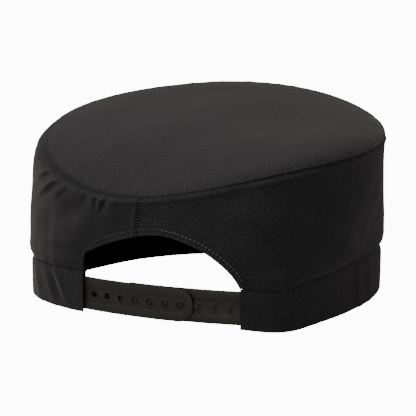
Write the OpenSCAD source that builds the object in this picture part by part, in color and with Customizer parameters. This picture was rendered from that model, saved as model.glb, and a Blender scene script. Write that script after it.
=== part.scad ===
// Low chef cap: oval crown, side wall, head band and a snap-together size strap at the back.
// The hem stands on z = 0, the forehead faces -Y and the strap faces +Y. +X is the wearer's left.
// Angles round the cap start at the back (+Y) and grow towards +X.

/* [Head band] */
// Half the outer width of the head band
band_half_w = 91.5; // [89:0.5:95]
// From the widest place of the cap back to the strap side
band_back = 79.5; // [77:0.5:82]
// From the widest place forward to the forehead
band_front = 112; // [107:0.5:116]
// How far the widest place lies behind the middle
widest_y = 14.4; // [10:0.2:16]
// Height of the head band
band_h = 23.5; // [22:0.5:26]
// Squareness of the outline behind the widest place (2 is a true ellipse)
back_square = 3.2; // [2.6:0.1:3.4]
// Squareness of the outline in front of the widest place
front_square = 2.3; // [2:0.1:2.6]

/* [Crown] */
// Half the width of the crown at its seam
crown_half_w = 98; // [95:0.5:101]
// From the crown's widest place back to its seam
crown_back = 83.5; // [82:0.5:92]
// From the crown's widest place forward to its seam
crown_front = 94; // [84:0.5:98]
// How far the crown's widest place lies behind the middle
crown_y = 10.9; // [7:0.1:12]
// Squareness of the crown's outline (2 is a true ellipse)
crown_square = 2; // [2:0.1:2.4]
// Height of the crown seam at the back
seam_back_h = 67; // [65:0.5:74]
// Height of the crown seam at the sides
seam_side_h = 93; // [88:0.5:96]
// Height of the crown seam at the front
seam_front_h = 110; // [102:0.5:112]
// Rise of the slack crown above its seam
crown_rise = 12; // [4:0.5:14]

/* [Cloth] */
// Thickness of the panels with their lining
cloth_t = 1; // [0.8:0.1:1.1]
// Outward puff of the side wall between its seams
wall_puff = 2.4; // [0:0.1:3]
// Width of the binding along the rear arch
binding_w = 5; // [4:0.5:6]
// Radius of a thread
thread_r = 0.2; // [0.15:0.05:0.2]
// Height of the sweatband
sweatband_h = 27; // [25:0.5:32]

/* [Rear arch] */
// Angle of the arch's end on the wearer's left
mouth_left = 24.8; // [22:0.2:26]
// Angle of the arch's end on the wearer's right
mouth_right = 37.8; // [35:0.2:40]
// Height where the arch starts to curve in
arch_base = 20; // [17:0.5:21]
// Rise of the arch above that height
arch_rise = 27; // [25:0.2:29]
// Squareness of the arch (2 is a half ellipse)
arch_square = 2.3; // [2:0.1:3]

/* [Size strap] */
// Width of the moulded strap
strap_w = 18; // [16:0.5:18]
// Thickness of the moulded strap
strap_t = 1.4; // [1.2:0.1:1.5]
// Height of the strap's lower edge above the hem
strap_low = 1.8; // [1.2:0.1:2]
// Radius of the strap's curve across the arch
strap_r = 205; // [190:5:230]
// Number of sockets, and of studs
snaps = 7; // [7]
// Distance between neighbouring snaps
snap_pitch = 9; // [9]
// Sockets left empty between the band and the first stud
empty_sockets = 3; // [2:1:4]
// From the band's end to the first socket
first_socket = 6.8; // [6:0.1:7.2]
// Radius of a socket
socket_r = 1.8; // [1.8:0.05:1.9]
// Radius of a stud's head
stud_r = 1.35; // [1.2:0.05:1.35]

/* [Hidden] */

TWILL = [0.13, 0.12, 0.12];
TWILL_EDGE = [0.2, 0.185, 0.18];
LINING = [0.06, 0.06, 0.065];
THREAD = [0.24, 0.23, 0.22];
MOULDED = [0.17, 0.16, 0.145];
LABEL = [0.8, 0.79, 0.76];

clear = 0.1;                  // gap between pieces that lie on each other
round_n = 90;                 // facets round the crown and its seam
arch_n = 26;                  // facets along the rear arch
front_n = 76;                 // facets round the rest of the wall
wall_rows = 5;                // facets up the wall
crown_rings = 6;              // facets from the crown seam to the middle
crown_round = 2.4;            // power of the crown's cross section
band_t = 1.2;                 // two layers of folded twill
pocket_mid = 2;               // inset of the middle of the pocket between band and sweatband
sweat_in = 2.85;              // inset of the sweatband's outer face
sweat_t = 1;
ridge_r = 0.5;                // the turned edge along a seam
allowance_t = 0.6;
allowance_drop = 8;           // depth of a seam allowance
tab_run = 12;                 // length of a strap end sewn into the band
tab_t = 1;
hinge_out = 2.2;              // from the band's end to where the strap flexes
strap_gap = 0.25;             // between the two straps where they lie on each other
tip_r = 8;                    // corner radius of the holed strap's tip
tip_run = 7.3;                // from the last socket to the tip
stud_tip_run = 7;             // from the first stud to the tip of the studded strap
panel_deep = 0.25;            // sunk panel along the sockets
panel_half = 3.4;
stud_h = 1.5;
knuckle_r = 0.9;              // round end where the strap flexes

strap_mid_z = strap_low + strap_w / 2;
hinge_clear = knuckle_r + 0.15;  // from the flex line to the sewn-in end
arch_mid = (mouth_left - mouth_right) / 2;
arch_half = (mouth_left + mouth_right) / 2;

// ---- outlines and surfaces ----

function oval_r(a, hw, len, n) =
    pow(pow(abs(sin(a)) / hw, n) + pow(abs(cos(a)) / len, n), -1 / n);

function band_line(a) =
    let (r = cos(a) >= 0 ? oval_r(a, band_half_w, band_back, back_square)
                         : oval_r(a, band_half_w, band_front, front_square))
    [r * sin(a), widest_y + r * cos(a)];

function crown_line(a) =
    let (r = oval_r(a, crown_half_w, cos(a) >= 0 ? crown_back : crown_front, crown_square))
    [r * sin(a), crown_y + r * cos(a)];

// Direction square to the band, seen from above
function out_dir(a) =
    let (d = band_line(a + 0.5) - band_line(a - 0.5))
    [-d.y, d.x] / norm(d);

// A point of the band's outline, moved in by a distance
function band_pt(a, inset) = band_line(a) - out_dir(a) * inset;

// Degrees round the cap for a length along the band
function turn(a, length) = length / norm(band_line(a) - [0, widest_y]) * 180 / PI;

// The seam's height falls in a shallow curve from front to back
fall_back = (seam_side_h - seam_back_h) / crown_back;
fall_front = (seam_front_h - seam_side_h) / crown_front;
fall_bend = (fall_back - fall_front) / (crown_back + crown_front);
fall = fall_back - fall_bend * crown_back;
function crown_z(y) = let (u = y - crown_y) seam_side_h - fall * u - fall_bend * u * u;
function top_z(a) = crown_z(crown_line(a).y);

// A point of the side wall at a height, moved in by a distance
function wall_pt(a, z, inset) =
    let (w = min(1, max(0, (z - band_h) / (top_z(a) - band_h))),
         p = band_line(a) * (1 - w) + crown_line(a) * w
             + out_dir(a) * (wall_puff * sin(180 * w) - inset))
    [p.x, p.y, z];

// A point of the crown at a share of the way from the middle to the seam
function crown_pt(a, share, drop) =
    let (middle = [0, crown_y], p = middle + (crown_line(a) - middle) * share)
    [p.x, p.y, crown_z(p.y) + crown_rise * (1 - pow(share, crown_round)) - drop];

// Height of the arch above the hem at an angle round the cap
function arch_z(a) =
    let (u = abs(a - arch_mid) / arch_half)
    u >= 1 ? band_h : max(band_h, arch_base + arch_rise * pow(1 - pow(u, arch_square), 1 / arch_square));

// A point of the arch's edge, from 0 degrees on the wearer's left to 180 on the right
function arch_at(turned) =
    let (c = cos(turned), s = sin(turned))
    [arch_mid + arch_half * sign(c) * pow(abs(c), 2 / arch_square),
     arch_base + arch_rise * pow(s, 2 / arch_square)];

// The same edge, moved into the cloth and off its surface
function arch_pt(turned, deep, off) =
    let (p = arch_at(turned - 1), q = arch_at(turned + 1), m = arch_at(turned),
         mm = norm(band_line(m.x) - [0, widest_y]) * PI / 180,
         d = [(q.x - p.x) * mm, q.y - p.y],
         into = [d.y, -d.x] / norm(d))
    wall_pt(m.x + into.x * deep / mm, m.y + into.y * deep, -off);

// ---- solids ----

// Faces between two neighbouring columns of points, seen from the side they turn to
function quads(m, n, first, closed) =
    [for (i = [0 : closed ? m - 1 : m - 2], j = [0 : n - 2])
        let (p = first + i * n + j, q = first + ((i + 1) % m) * n + j)
        each [[p, q, q + 1], [p, q + 1, p + 1]]];

function flipped(faces) = [for (f = faces) [f[2], f[1], f[0]]];

// Closed wall between an outer and an inner ring of columns
module ring_shell(outer, inner) {
    m = len(outer);
    n = len(outer[0]);
    h = m * n;
    rims = [for (i = [0 : m - 1])
        let (p = i * n, q = ((i + 1) % m) * n, e = n - 1)
        each [[q, p, h + p], [q, h + p, h + q],
            [p + e, q + e, h + q + e], [p + e, h + q + e, h + p + e]]];
    polyhedron(
        points = concat([for (c = outer) each c], [for (c = inner) each c]),
        faces = concat(quads(m, n, 0, true), flipped(quads(m, n, h, true)), rims));
}

// A section swept through a row of places; each place is a closed loop of points
module sweep(loops, closed) {
    m = len(loops);
    n = len(loops[0]);
    sides = [for (i = [0 : closed ? m - 1 : m - 2], j = [0 : n - 1])
        let (p = i * n, q = ((i + 1) % m) * n, k = (j + 1) % n)
        each [[p + j, q + j, q + k], [p + j, q + k, p + k]]];
    ends = closed ? [] : [[for (j = [0 : n - 1]) j], [for (j = [n - 1 : -1 : 0]) (m - 1) * n + j]];
    polyhedron(points = [for (l = loops) each l], faces = concat(sides, ends), convexity = 6);
}

// A strip standing along the band's outline, from one angle to another
module strip(from, to, in_outer, in_inner, low, high, n) {
    angles = [for (i = [0 : n]) from + (to - from) * i / n];
    translate([0, 0, low])
        linear_extrude(high - low)
            polygon(concat([for (a = angles) band_pt(a, in_outer)],
                [for (i = [n : -1 : 0]) band_pt(angles[i], in_inner)]));
}

// One stitch: a short straight thread from point to point
module stitch(p, q) {
    d = q - p;
    translate(p)
        rotate([0, acos(d.z / norm(d)), atan2(d.y, d.x)])
            cylinder(h = norm(d), r = thread_r, $fn = 16);
}

// ---- cloth ----

module crown_panel() {
    n = crown_rings;
    m = round_n;
    angles = [for (i = [0 : m - 1]) 360 * i / m];
    shares = [for (j = [0 : n - 1]) 1 - pow(j / n, 1.5)];
    over = [for (a = angles) [for (s = shares) crown_pt(a, s, 0)]];
    under = [for (a = angles) [for (s = shares) crown_pt(a, s, cloth_t)]];
    h = m * n;
    caps = [for (i = [0 : m - 1])
        let (p = i * n + n - 1, q = ((i + 1) % m) * n + n - 1)
        each [[p, q, 2 * h], [h + q, h + p, 2 * h + 1]]];
    rim = [for (i = [0 : m - 1])
        let (p = i * n, q = ((i + 1) % m) * n)
        each [[q, p, h + p], [q, h + p, h + q]]];
    color(TWILL)
        polyhedron(
            points = concat([for (c = over) each c], [for (c = under) each c],
                [crown_pt(0, 0, 0), crown_pt(0, 0, cloth_t)]),
            faces = concat(quads(m, n, 0, true), flipped(quads(m, n, h, true)), caps, rim));
}

module side_wall() {
    back = [for (k = [0 : arch_n]) arch_mid - arch_half * cos(180 * k / arch_n)];
    front = [for (k = [1 : front_n - 1]) mouth_left + (360 - 2 * arch_half) * k / front_n];
    angles = concat(back, front);
    function column(a, inset) =
        let (low = arch_z(a) + clear, high = top_z(a) - cloth_t - clear)
        [for (j = [0 : wall_rows]) wall_pt(a, low + (high - low) * j / wall_rows, inset)];
    color(TWILL)
        ring_shell([for (a = angles) column(a, 0)], [for (a = angles) column(a, cloth_t)]);
}

module head_band() {
    color(TWILL)
        strip(mouth_left, 360 - mouth_right, 0, band_t, 0, band_h, front_n);
}

module band_interlining() {
    past = turn(mouth_left, tab_run + 1);
    color(LINING)
        strip(mouth_left + past, 360 - mouth_right - past, pocket_mid - 0.4, pocket_mid + 0.4,
            1.5, band_h - 1, front_n);
}

module sweatband() {
    back_off = turn(mouth_left, 0.8);
    color(LINING)
        strip(mouth_left + back_off, 360 - mouth_right - back_off, sweat_in, sweat_in + sweat_t,
            1, 1 + sweatband_h, front_n);
}

module opening_binding() {
    first = 17;               // starts just above the head band
    places = [for (k = [0 : arch_n * 1.5]) first + (180 - 2 * first) * k / (arch_n * 1.5)];
    outer = 0.6;
    section = [[binding_w, clear], [binding_w, outer], [-outer, outer],
        [-outer, -cloth_t - outer], [binding_w, -cloth_t - outer], [binding_w, -cloth_t - clear],
        [-clear, -cloth_t - clear], [-clear, clear]];
    color(TWILL_EDGE)
        sweep([for (t = places) [for (s = section) arch_pt(t, s.x, s.y)]], false);
}

// A round bead that stands just outside a row of places
function bead(p, dir, up) =
    [for (k = [0 : 5]) p + dir * (ridge_r + clear + ridge_r * cos(60 * k)) + up * ridge_r * sin(60 * k)];

module crown_seam_ridge() {
    function at(a) = let (p = crown_line(a), d = out_dir(a))
        bead([p.x, p.y, top_z(a) - 0.3], [d.x, d.y, 0], [0, 0, 1]);
    color(TWILL_EDGE)
        sweep([for (i = [0 : round_n - 1]) at(360 * i / round_n)], true);
}

module back_seam_ridge() {
    low = arch_z(0) + binding_w + 0.6;
    high = top_z(0) - 2;
    function at(z) = bead(wall_pt(0, z, 0), [0, 1, 0], [1, 0, 0]);
    color(TWILL_EDGE)
        sweep([for (k = [0 : 4]) at(low + (high - low) * k / 4)], false);
}

module crown_seam_allowance() {
    inset = 2.1;
    function column(a, in) =
        [for (d = [allowance_drop + 2, 2]) wall_pt(a, top_z(a) - d, in)];
    angles = [for (i = [0 : round_n - 1]) 360 * i / round_n];
    color(LINING)
        ring_shell([for (a = angles) column(a, inset)],
            [for (a = angles) column(a, inset + allowance_t)]);
}

module back_seam_allowance() {
    low = arch_z(0) + binding_w + 0.6;
    high = top_z(0) - 1.8;
    inset = cloth_t + clear;
    function loop(a, z) = [wall_pt(a, z, inset), wall_pt(a, z, inset + allowance_t - 0.1)];
    color(LINING)
        for (side = [-1, 1]) {
            a0 = side * turn(0, 0.4);
            a1 = side * turn(0, 7.4);
            ends = side > 0 ? [a0, a1] : [a1, a0];
            sweep([for (k = [0 : 6])
                let (z = low + (high - low) * k / 6)
                concat(loop(ends[0], z), [loop(ends[1], z)[1], loop(ends[1], z)[0]])], false);
        }
}

module care_label() {
    half = turn(180, 14);
    inset = sweat_in + sweat_t + clear;
    color(LABEL)
        strip(180 - half, 180 + half, inset, inset + 0.3, 8, 21, 6);
}

// ---- threads ----

module crown_overlock_stitches() {
    n = 120;
    inset = 2.1 + allowance_t + thread_r + 3 * clear;
    color(THREAD)
        for (i = [0 : n - 1]) {
            a = 360 * i / n;
            b = a + 240 / n;
            stitch(wall_pt(a, top_z(a) - 3, inset), wall_pt(b, top_z(b) - 9.4, inset));
        }
}

module back_overlock_stitches() {
    low = arch_z(0) + binding_w + 1.4;
    inset = cloth_t + allowance_t + thread_r + 3 * clear;
    color(THREAD)
        for (side = [-1, 1], k = [0 : 1]) {
            z = low + 1.7 * k;
            stitch(wall_pt(side * turn(0, 3), z, inset), wall_pt(side * turn(0, 7), z + 0.8, inset));
        }
}

module sweatband_stitches() {
    n = 100;
    z = sweatband_h - 0.8;
    inset = sweat_in + sweat_t + thread_r + clear;
    from = mouth_left + turn(mouth_left, 4);
    step = (360 - mouth_right - turn(mouth_right, 4) - from) / n;
    function at(i) = let (p = band_pt(from + step * i, inset)) [p.x, p.y, z];
    color(THREAD)
        for (i = [0 : n - 1])
            stitch(at(i), at(i + 0.62));
}

module opening_stitches() {
    n = 34;
    first = 24;
    function at(k) = arch_pt(first + (180 - 2 * first) * k / n, binding_w - 0.8, 0.6 + thread_r + clear);
    color(THREAD)
        for (k = [0 : n - 1])
            stitch(at(k), at(k + 0.65));
}

// The upright row that holds a strap end in the band
module tack_row(a) {
    n = 6;
    pitch = (strap_w - 3) / n;
    p = band_pt(a, -thread_r - clear);
    for (k = [0 : n - 1]) {
        z = strap_low + 1.8 + pitch * k;
        stitch([p.x, p.y, z], [p.x, p.y, z + pitch * 0.65]);
    }
}

module socket_tack_stitches() {
    color(THREAD)
        tack_row(mouth_left + turn(mouth_left, 4));
}

module stud_tack_stitches() {
    color(THREAD)
        tack_row(-mouth_right - turn(mouth_right, 4));
}

module label_stitches() {
    inset = sweat_in + sweat_t + 0.4 + thread_r + clear;
    half = 12.8;
    n = 8;
    step = 2 * half / n;
    function at(x, z) = let (p = band_pt(180 + turn(180, x), inset)) [p.x, p.y, z];
    color(THREAD) {
        for (z = [8.8, 20.2], k = [0 : n - 1])
            stitch(at(-half + step * k, z), at(-half + step * (k + 0.62), z));
        for (x = [-half, half], k = [0 : 3])
            stitch(at(x, 10.4 + 2.4 * k), at(x, 11.8 + 2.4 * k));
    }
}

// ---- size strap ----

// Both straps bend round one centre: the holed strap passes through the pocket on the left,
// the studded strap lies inside it and passes through the pocket on the right.
left_pt = band_pt(mouth_left, pocket_mid);
right_pt = band_pt(-mouth_right, pocket_mid);
stud_strap_r = strap_r - strap_t - strap_gap;
span = norm(right_pt - left_pt);
along = (right_pt - left_pt) / span;
reach = (strap_r * strap_r - stud_strap_r * stud_strap_r + span * span) / (2 * span);
strap_centre = left_pt + along * reach + [-along.y, along.x] * sqrt(strap_r * strap_r - reach * reach);
left_phi = atan2(left_pt.y - strap_centre.y, left_pt.x - strap_centre.x);
right_phi = atan2(right_pt.y - strap_centre.y, right_pt.x - strap_centre.x);
phi_mm = 180 / PI / strap_r;  // degrees of strap for a millimetre
function snap_phi(k) = left_phi + (first_socket + snap_pitch * k) * phi_mm;

// Puts children on the strap's curve: X points outwards, Y along the strap
module on_strap(phi, r) {
    translate([strap_centre.x, strap_centre.y, 0])
        rotate([0, 0, phi])
            translate([r, 0, 0])
                children();
}

// A curved slab between two radii, cut to an outline drawn on a plane square to the strap at phi
module slab(phi, r_in, r_out, outline) {
    intersection() {
        translate([strap_centre.x, strap_centre.y, 0])
            difference() {
                cylinder(h = strap_w + 10, r = r_out, $fn = 360);
                translate([0, 0, -1])
                    cylinder(h = strap_w + 12, r = r_in, $fn = 360);
            }
        on_strap(phi, r_in - 8)
            translate([0, 0, strap_mid_z])
                rotate([90, 0, 90])
                    linear_extrude(20)
                        polygon(outline);
    }
}

// A bar from one place along the strap to another, with two round corners at the far end
function tongue(from, to, half, corner) =
    let (way = sign(to - from),
         turn_up = [for (k = [0 : 8]) let (t = 90 * k / 8)
             [to - way * corner * (1 - cos(t)), half - corner * (1 - sin(t))]])
    concat([[from, -half]], [for (k = [8 : -1 : 0]) [turn_up[k].x, -turn_up[k].y]], turn_up,
        [[from, half]]);

module socket_strap_tab() {
    color(MOULDED)
        strip(mouth_left - turn(mouth_left, hinge_out - hinge_clear),
            mouth_left + turn(mouth_left, tab_run),
            pocket_mid - tab_t / 2, pocket_mid + tab_t / 2, strap_low, strap_low + strap_w, 4);
}

module stud_strap_tab() {
    color(MOULDED)
        strip(-mouth_right + turn(mouth_right, hinge_out - hinge_clear),
            -mouth_right - turn(mouth_right, tab_run),
            pocket_mid - tab_t / 2, pocket_mid + tab_t / 2, strap_low, strap_low + strap_w, 4);
}

module knuckle(phi, r) {
    on_strap(phi, r)
        translate([0, 0, strap_low + 0.4])
            cylinder(h = strap_w - 0.8, r = knuckle_r, $fn = 32);
}

// Sideways distance on the strap's plane between two places given by their angles
function across(r, phi, from) = r * sin(phi - from);

module socket_strap() {
    hinge_phi = left_phi + hinge_out * phi_mm;
    last_phi = snap_phi(snaps - 1);
    tip_phi = last_phi + tip_run * phi_mm;
    mid_phi = (hinge_phi + tip_phi) / 2;
    inner = strap_r - strap_t / 2;
    outer = strap_r + strap_t / 2;
    from = across(strap_r, hinge_phi, mid_phi);
    color(MOULDED)
        difference() {
            union() {
                slab(mid_phi, inner, outer, tongue(from, -from, strap_w / 2, tip_r));
                knuckle(hinge_phi, strap_r);
            }
            slab(mid_phi, outer - panel_deep, outer + 1,
                tongue(from + 2.4, across(strap_r, last_phi, mid_phi) + panel_half, panel_half, 3));
            for (k = [0 : snaps - 1])
                on_strap(snap_phi(k), strap_r - 2)
                    translate([0, 0, strap_mid_z])
                        rotate([0, 90, 0])
                            cylinder(h = 4, r = socket_r, $fn = 32);
        }
}

module stud_strap() {
    first_phi = snap_phi(empty_sockets);
    hinge_phi = right_phi - hinge_out * phi_mm;
    tip_phi = first_phi - stud_tip_run * phi_mm;
    mid_phi = (hinge_phi + tip_phi) / 2;
    inner = stud_strap_r - strap_t / 2;
    outer = stud_strap_r + strap_t / 2;
    from = across(stud_strap_r, hinge_phi, mid_phi);
    color(MOULDED) {
        slab(mid_phi, inner, outer, tongue(from, -from, strap_w / 2, 3));
        knuckle(hinge_phi, stud_strap_r);
        for (k = [0 : snaps - 1])
            on_strap(snap_phi(empty_sockets + k), outer - 0.2)
                translate([0, 0, strap_mid_z])
                    rotate([0, 90, 0])
                        rotate_extrude($fn = 32)
                            polygon([[0, 0], [stud_r - 0.3, 0], [stud_r - 0.3, 1], [stud_r, 1.2],
                                [stud_r, 1.4], [stud_r - 0.3, stud_h + 0.2], [0, stud_h + 0.2]]);
    }
}

crown_panel();
side_wall();
head_band();
opening_binding();
crown_seam_ridge();
back_seam_ridge();
crown_seam_allowance();
back_seam_allowance();
band_interlining();
sweatband();
care_label();
crown_overlock_stitches();
back_overlock_stitches();
sweatband_stitches();
opening_stitches();
socket_tack_stitches();
stud_tack_stitches();
label_stitches();
socket_strap_tab();
socket_strap();
stud_strap_tab();
stud_strap();
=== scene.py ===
"""Low black chef cap with an oval crown, a folded head band and a snap-together size strap.

Lengths are in millimetres until a mesh is made, which is in metres; the lights and the camera are
placed in metres. The hem stands near z = 0, the forehead faces -Y and the strap faces +Y. Angles
round the cap start at the back and grow towards the wearer's left, +X.
"""

import math

import bmesh
import bpy
import numpy as np
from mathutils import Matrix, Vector


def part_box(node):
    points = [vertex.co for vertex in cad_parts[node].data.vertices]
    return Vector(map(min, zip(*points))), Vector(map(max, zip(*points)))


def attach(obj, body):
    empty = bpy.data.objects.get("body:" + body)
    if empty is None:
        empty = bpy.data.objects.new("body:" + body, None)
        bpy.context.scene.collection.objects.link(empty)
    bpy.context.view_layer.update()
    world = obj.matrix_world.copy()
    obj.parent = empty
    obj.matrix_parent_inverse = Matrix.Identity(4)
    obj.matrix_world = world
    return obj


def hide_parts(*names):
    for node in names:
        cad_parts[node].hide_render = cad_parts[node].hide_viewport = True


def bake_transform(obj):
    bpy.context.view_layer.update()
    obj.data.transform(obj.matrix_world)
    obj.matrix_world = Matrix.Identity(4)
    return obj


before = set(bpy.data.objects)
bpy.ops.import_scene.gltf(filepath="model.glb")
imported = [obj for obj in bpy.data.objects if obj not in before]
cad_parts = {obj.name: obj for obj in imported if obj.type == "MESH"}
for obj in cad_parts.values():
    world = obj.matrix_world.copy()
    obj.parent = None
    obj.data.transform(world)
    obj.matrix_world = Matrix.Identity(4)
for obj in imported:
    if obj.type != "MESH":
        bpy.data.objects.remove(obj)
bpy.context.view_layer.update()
bpy.ops.object.select_all(action="DESELECT")

MM = 0.001


def corner(node, side, axis):
    """A side of a CAD node's box, in millimetres; side 0 is the lowest."""
    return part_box(node)[side][axis] / MM


# ---- driving sizes, from the frame where a node's box gives them ----

BAND_HALF_W = corner("head_band", 1, 0)
BAND_H = corner("head_band", 1, 2)
WIDEST_Y = 14.4
BAND_FRONT = WIDEST_Y - corner("head_band", 0, 1)
BAND_BACK = 79.5
BACK_SQUARE = 3.2
FRONT_SQUARE = 2.3

CROWN_HALF_W = 97.7
CROWN_Y = 10.9
CROWN_BACK = 83.5
CROWN_FRONT = 94.0
CROWN_RISE = 12.0
SEAM_MID_Z = 90.9

CLOTH_T = 0.8
POCKET_MID = 2.0
SWEATBAND_IN = 2.9
SWEATBAND_TOP = corner("sweatband", 1, 2)
THREAD_R = 0.19
INNER_THREAD_R = 0.2
WALL_PUCKERS = 26
CROWN_PUCKERS = 44

MOUTH_LEFT = math.radians(24.8)
MOUTH_RIGHT = math.radians(-37.8)
ARCH_RUN = 93.5
BINDING_W = 3.6

STRAP_W = corner("socket_strap", 1, 2) - corner("socket_strap", 0, 2)
STRAP_LOW = corner("socket_strap", 0, 2)
STRAP_MID_Z = STRAP_LOW + STRAP_W / 2
STRAP_T = 1.4
STRAP_R = 205.0
STRAP_GAP = 0.25
STUD_STRAP_R = STRAP_R - STRAP_T - STRAP_GAP
SNAPS = 7
SNAP_PITCH = 9.0
FIRST_SOCKET = 6.8
EMPTY_SOCKETS = 3
SOCKET_R = 1.8
STUD_R = 1.35
TAB_RUN = 12.0
PANEL_MARGINS = (4.6, 5.2)
BEND_STEP = 1.55

TURN = 2 * math.pi


# ---- outlines ----


def wrap(a):
    return (a + math.pi) % TURN - math.pi


def bell(x, width):
    """1 at nought, falling away on both sides over a width."""
    return np.exp(-((x / width) ** 2))


def bump(a, centre, width):
    """1 at an angle round the cap, falling away over a width; both in degrees."""
    return bell(wrap(a - math.radians(centre)), math.radians(width))


def oval(a, half_w, back, front, n_back, n_front, mid_y):
    s, c = np.abs(np.sin(a)), np.abs(np.cos(a))
    behind = np.cos(a) >= 0
    n = np.where(behind, n_back, n_front)
    r = ((s / half_w) ** n + (c / np.where(behind, back, front)) ** n) ** (-1 / n)
    return np.stack([r * np.sin(a), mid_y + r * np.cos(a)], -1)


def plain_band(a):
    """The head band's outline as it was cut, before the cloth moves."""
    return oval(a, BAND_HALF_W, BAND_BACK, BAND_FRONT, BACK_SQUARE, FRONT_SQUARE, WIDEST_Y)


def out_dir(a):
    d = plain_band(a + 0.01) - plain_band(a - 0.01)
    n = np.stack([-d[..., 1], d[..., 0]], -1)
    return n / np.linalg.norm(n, axis=-1, keepdims=True)


ROUND = np.linspace(-math.pi, math.pi, 2881)
STEPS = np.linalg.norm(np.diff(plain_band(ROUND), axis=0), axis=1)
RUN = np.concatenate([[0], np.cumsum(STEPS)])
RUN -= np.interp(0, ROUND, RUN)
GIRTH = RUN[-1] - RUN[0]


def run_of(a):
    """Length along the band from the middle of the back, towards the wearer's left."""
    whole = np.round((a - wrap(a)) / TURN)
    return np.interp(wrap(a), ROUND, RUN) + whole * GIRTH


def angle_at(run):
    whole = np.floor((run - RUN[0]) / GIRTH)
    return np.interp(run - whole * GIRTH, RUN, ROUND) + whole * TURN


def run_apart(run, at):
    """Length along the band from one place to another, the short way round."""
    return (run - at + GIRTH / 2) % GIRTH - GIRTH / 2


def fold(run, z, at_run, at_z, lean, length, width):
    """A soft crease on the cloth: a ridge of that width and length, leaning by degrees."""
    c, s = math.cos(math.radians(lean)), math.sin(math.radians(lean))
    x = run_apart(run, at_run)
    y = z - at_z
    along, across = x * c + y * s, -x * s + y * c
    return np.exp(-((along / length) ** 2) - (across / width) ** 2)


def add_folds(total, run, z, creases):
    for size, *place in creases:
        total = total + size * fold(run, z, *place)
    return total


def ripple(x, y, size, seed):
    """Slow unevenness between -1 and 1, the same on every run."""
    total = 0.0
    for k in range(6):
        turn = 2.4 * k + seed * 1.7
        rate = TURN / size * (0.6 + 0.17 * k)
        total = total + np.sin(
            (x * math.cos(turn) + y * math.sin(turn)) * rate + 1.9 * k * k + 3.1 * seed
        )
    return total / 3.4


def round_ripple(run, z, size, seed):
    """The same unevenness carried round the cap, so that it meets itself."""
    turn = run * TURN / GIRTH
    radius = GIRTH / TURN
    return ripple(radius * np.cos(turn) + 0.8 * z, radius * np.sin(turn) + 0.6 * z, size, seed)


# ---- the band, the crown seam and the wall between them ----

# Each crease: its size (under 0 it sinks in), where it is along the band and up, its lean in
# degrees, its length and its width
BAND_CREASES = (
    (0.9, 52, 14, 62, 11, 2.4),
    (0.6, 61, 10, 66, 10, 2.6),
    (-0.9, 56.5, 12, 64, 10, 2.1),
    (0.7, 74, 12, 75, 12, 3.0),
    (0.4, -150, 10, 88, 16, 3.2),
    (-0.3, -142, 11, 88, 16, 3.6),
    (0.6, -166, 13, 86, 14, 3.2),
    (0.6, 210, 12, 80, 14, 4.0),
    (-0.6, -250, 12, 100, 14, 4.0),
)
WALL_CREASES = (
    (1.0, 52, 38, 5, 9, 1.5),
    (-0.8, 53, 35, 5, 9, 1.8),
    (-1.6, 42, 56, -20, 16, 6.0),
    (1.2, -118, 44, 24, 26, 6.0),
    (-1.2, -100, 62, 30, 26, 8.0),
    (1.0, -62, 58, 15, 18, 6.0),
    (1.1, 150, 66, 30, 24, 6.0),
    (-1.1, -215, 60, -28, 26, 7.0),
    (0.9, 240, 54, -24, 26, 6.0),
)


def hem_z(a):
    return 2.4 * bump(a, 66, 30) - 1.4 * bump(a, -50, 11) + 0.5 * bump(a, 150, 40)


def band_top(a):
    return (
        BAND_H
        + 3.4 * bump(a, -98, 34)
        - 3.2 * bump(a, -46, 13)
        + 1.0 * bump(a, 70, 25)
        + 0.6 * bump(a, 175, 40)
    )


def band_xy(a, z, inset=0.0):
    """The band as it is worn in: fuller on the left, with a corner behind the right ear."""
    run = run_of(a)
    move = 2.5 * bump(a, 64, 30) + 3.0 * bump(a, -50, 8.5) - 0.7 * bump(a, -70, 12)
    move = move + 0.5 * round_ripple(run, z, 70, 1) * (1 - bump(a, -6, 32))
    pulled = -1.2 * bell(z - band_top(a), 2.0)
    off = move + add_folds(0.0, run, z, BAND_CREASES) + pulled - inset
    return plain_band(a) + out_dir(a) * np.asarray(off)[..., None]


def crown_xy(a):
    """The crown seam from above."""
    return oval(a, CROWN_HALF_W, CROWN_BACK, CROWN_FRONT, 2.0, 2.0, CROWN_Y)


def seam_z(a, share=1.0):
    """The crown seam's height: low at the back, high at the front, a little higher on the left.

    With a share under 1, the same surface carried in smoothly towards the crown's middle."""
    slope = -20.2 * np.cos(a) + 3.2 * np.sin(a)
    twist = -2.2 * np.cos(2 * a) - 3.0 * np.sin(2 * a)
    waver = -1.5 * np.cos(3 * a) - 0.8 * np.sin(3 * a)
    return SEAM_MID_Z + slope * share + twist * share**2 + waver * share**3


def wall_fullness(a, w):
    """How far the wall stands out between its seams: a full shoulder on the wearer's left."""
    left = 7.6 * w**0.52 * (1 - w**20)
    right = 2.3 * np.sin(math.pi * w**0.6)
    share = np.clip((1 + np.cos(a - math.radians(72))) / 2, 0, 1) ** 1.6
    overhang = (0.6 + 0.7 * bump(a, -75, 30)) * bell(w - 0.09, 0.07) * (1 - bump(a, 0, 34))
    roll = 0.9 * bell(w - 0.95, 0.04)
    return left * share + right * (1 - share) + overhang + roll


def back_seam_run(z):
    """Where the centre-back seam has drifted to: a little off centre, and leaning."""
    return -0.7 - 1.8 * np.clip((z - 52) / 15, 0, 1)


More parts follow.
